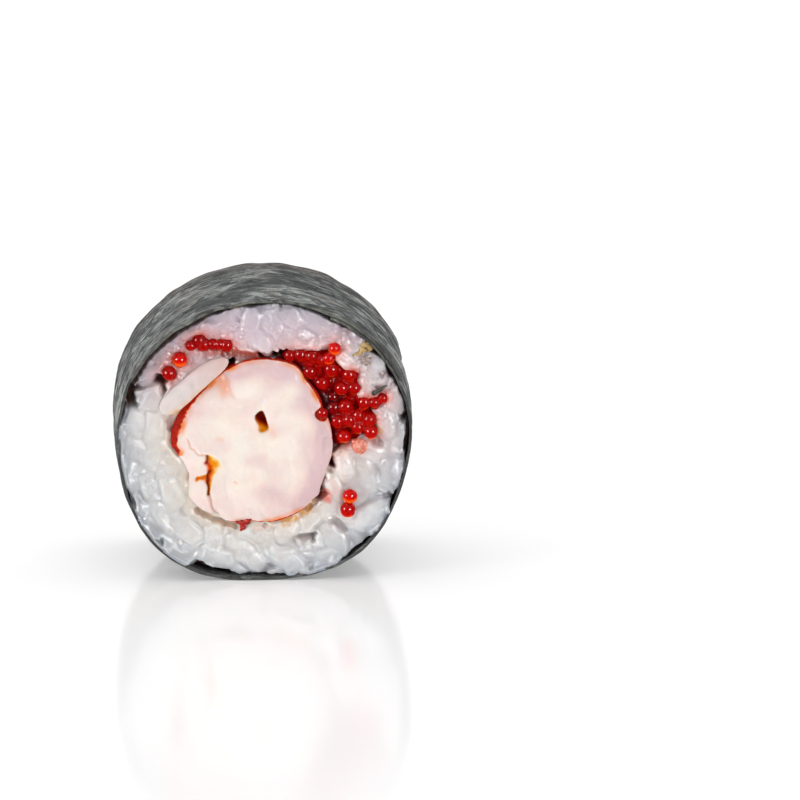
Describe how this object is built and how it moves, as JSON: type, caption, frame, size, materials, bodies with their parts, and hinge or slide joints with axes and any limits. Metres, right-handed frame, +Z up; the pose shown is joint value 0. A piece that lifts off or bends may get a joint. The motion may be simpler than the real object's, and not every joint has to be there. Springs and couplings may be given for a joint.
{
  "type": "shrimp maki roll",
  "caption": "Slice of rolled sushi lying on its side: nori sheet round sticky rice, with a boiled shrimp and red fish roe showing at both cut faces.",
  "frame": {"origin": "on the table, under the middle of the slice: the centre of the bottom of its bounding box", "axes": "+Z up; the roll's own axis runs along Y, with the shown cut face towards -Y; +X to the right as that face is seen"},
  "size_m": [0.036, 0.0231, 0.0345],
  "materials": {
    "nori": "dark green-black roasted seaweed with a soft sheen and fibres that run round the roll",
    "rice": "moist, translucent white cooked rice",
    "shrimp": "moist, pinkish white cooked flesh with an orange-red skin at its edge",
    "roe": "glossy, translucent red eggs"
  },
  "bodies": {
    "root": {"nori": "nori", "rice": "rice", "shrimp": "shrimp", "roe_right": "roe", "roe_left": "roe"}
  },
  "joints": []
}
